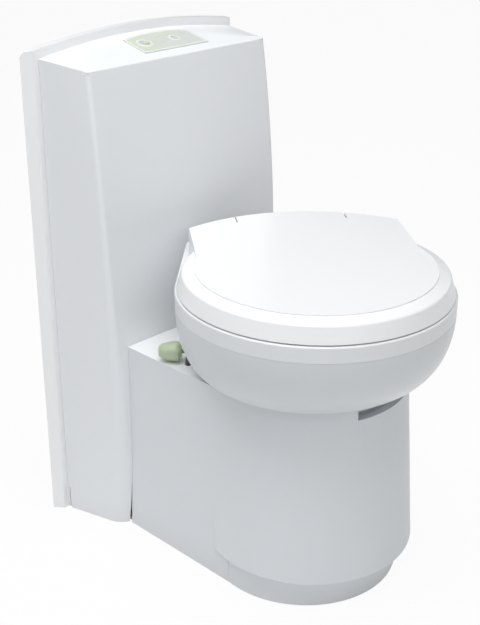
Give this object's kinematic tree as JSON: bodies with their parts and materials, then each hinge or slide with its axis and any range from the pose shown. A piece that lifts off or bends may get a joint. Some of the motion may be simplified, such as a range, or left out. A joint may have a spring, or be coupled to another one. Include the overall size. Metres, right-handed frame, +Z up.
{
  "type": "cassette toilet",
  "caption": "Cassette toilet with a tall arched console, a swivel bowl with seat and lid on a round-fronted pedestal, and a wheeled waste tank drawn out through the wall.",
  "frame": {"origin": "on the floor, under the axis that the bowl swivels about", "axes": "+Z up; -Y to the front, away from the wall; +X to the right as seen by a person facing the toilet"},
  "size_m": [0.4373, 0.5996, 0.767],
  "materials": {
    "white_gloss": "gloss moulded plastic",
    "white_satin": "satin moulded plastic",
    "tank_plastic": "matte blown plastic",
    "sage_plastic": "satin, pale green",
    "panel_plastic": "matte printed film, pale grey-green",
    "grey_plastic": "matte",
    "dark_plastic": "matte",
    "rubber": "matte",
    "steel": "bright",
    "board": "circuit board"
  },
  "bodies": {
    "frame": {"console_shell": "white_gloss", "back_panel": "white_gloss", "pedestal_shell": "white_gloss", "base_tray": "white_satin", "bearing_ring": "grey_plastic", "bearing_screws": "steel", "control_panel": "panel_plastic", "indicator_lens": "sage_plastic", "control_board": "board", "flush_tank": "tank_plastic", "filler_neck": "white_satin", "flush_pump": "dark_plastic", "rinse_hose": "rubber", "rinse_elbow": "grey_plastic", "cable_gland": "dark_plastic"},
    "button": {"flush_button": "sage_plastic"},
    "filler_cap": {"filler_cap": "dark_plastic"},
    "lever": {"valve_ring": "grey_plastic", "valve_lever": "grey_plastic", "valve_knob": "sage_plastic", "drive_pin": "steel"},
    "bowl": {"bowl_shell": "white_gloss", "bowl_rim": "white_gloss", "bowl_liner": "white_gloss", "turntable": "grey_plastic", "retaining_ring": "dark_plastic", "retainer_screws": "steel", "outlet_seal": "rubber", "rinse_nozzle": "white_satin", "hinge_bracket": "white_satin", "hinge_screws": "steel", "hinge_pins": "steel"},
    "seat": {"seat": "white_gloss", "seat_bumpers": "rubber"},
    "lid": {"lid": "white_gloss", "lid_bumpers": "rubber"},
    "tank": {"waste_tank": "tank_plastic", "blade_housing": "grey_plastic", "tank_seal": "rubber", "tank_axle": "steel", "handle_lugs": "tank_plastic"},
    "blade": {"valve_blade": "dark_plastic"},
    "wheels": {"tank_wheels": "dark_plastic"},
    "spout": {"pouring_spout": "tank_plastic"},
    "spout_cap": {"spout_cap": "dark_plastic"},
    "vent": {"vent_button": "sage_plastic"},
    "handle": {"tank_handle": "grey_plastic"},
    "float": {"level_float": "grey_plastic"}
  },
  "joints": [
    {"name": "bowl_swivel", "type": "hinge", "parent": "frame", "child": "bowl", "pos_m": [0, 0, 0.33], "axis": [0, 0, 1], "range_deg": [-32, 108]},
    {"name": "seat_hinge", "type": "hinge", "parent": "bowl", "child": "seat", "pos_m": [0.08558, 0.10953, 0.488], "axis": [0.788, -0.6157, 0], "range_deg": [-95, 0]},
    {"name": "lid_hinge", "type": "hinge", "parent": "seat", "child": "lid", "pos_m": [0.08558, 0.10953, 0.488], "axis": [-0.788, 0.6157, 0], "range_deg": [0, 94]},
    {"name": "valve_turn", "type": "hinge", "parent": "frame", "child": "lever", "pos_m": [0, 0, 0.309], "axis": [0, 0, 1], "range_deg": [-38, 0]},
    {"name": "tank_slide", "type": "slide", "parent": "frame", "child": "tank", "axis": [0, 1, 0], "range_m": [0, 0.48]},
    {"name": "blade_slide", "type": "slide", "parent": "tank", "child": "blade", "axis": [1, 0, 0], "range_m": [-0.0735, 0]},
    {"name": "wheel_spin", "type": "hinge", "parent": "tank", "child": "wheels", "pos_m": [0, -0.058, 0.03], "axis": [1, 0, 0], "continuous": true},
    {"name": "spout_turn", "type": "hinge", "parent": "tank", "child": "spout", "pos_m": [-0.086, 0.306, 0.165], "axis": [0, 0, 1], "range_deg": [0, 90]},
    {"name": "spout_cap_pull", "type": "slide", "parent": "spout", "child": "spout_cap", "axis": [1, 0, 0], "range_m": [0, 0.03]},
    {"name": "vent_press", "type": "slide", "parent": "tank", "child": "vent", "axis": [0, 0, -1], "range_m": [0, 0.002], "stiffness_N_per_m": 300, "springref_m": -0.002},
    {"name": "handle_swing", "type": "hinge", "parent": "tank", "child": "handle", "pos_m": [0, 0.3588, 0.112], "axis": [1, 0, 0], "range_deg": [0, 85]},
    {"name": "float_swing", "type": "hinge", "parent": "tank", "child": "float", "pos_m": [0.096, 0.15, 0.062], "axis": [1, 0, 0], "range_deg": [0, 60]},
    {"name": "button_press", "type": "slide", "parent": "frame", "child": "button", "axis": [0, 0, -1], "range_m": [0, 0.002], "stiffness_N_per_m": 300, "springref_m": -0.002},
    {"name": "filler_cap_pull", "type": "slide", "parent": "frame", "child": "filler_cap", "axis": [0, 1, 0], "range_m": [0, 0.03]}
  ],
  "couplings": [
    {"joint": "blade_slide", "follows": "valve_turn", "m_per_rad": 0.10996}
  ]
}
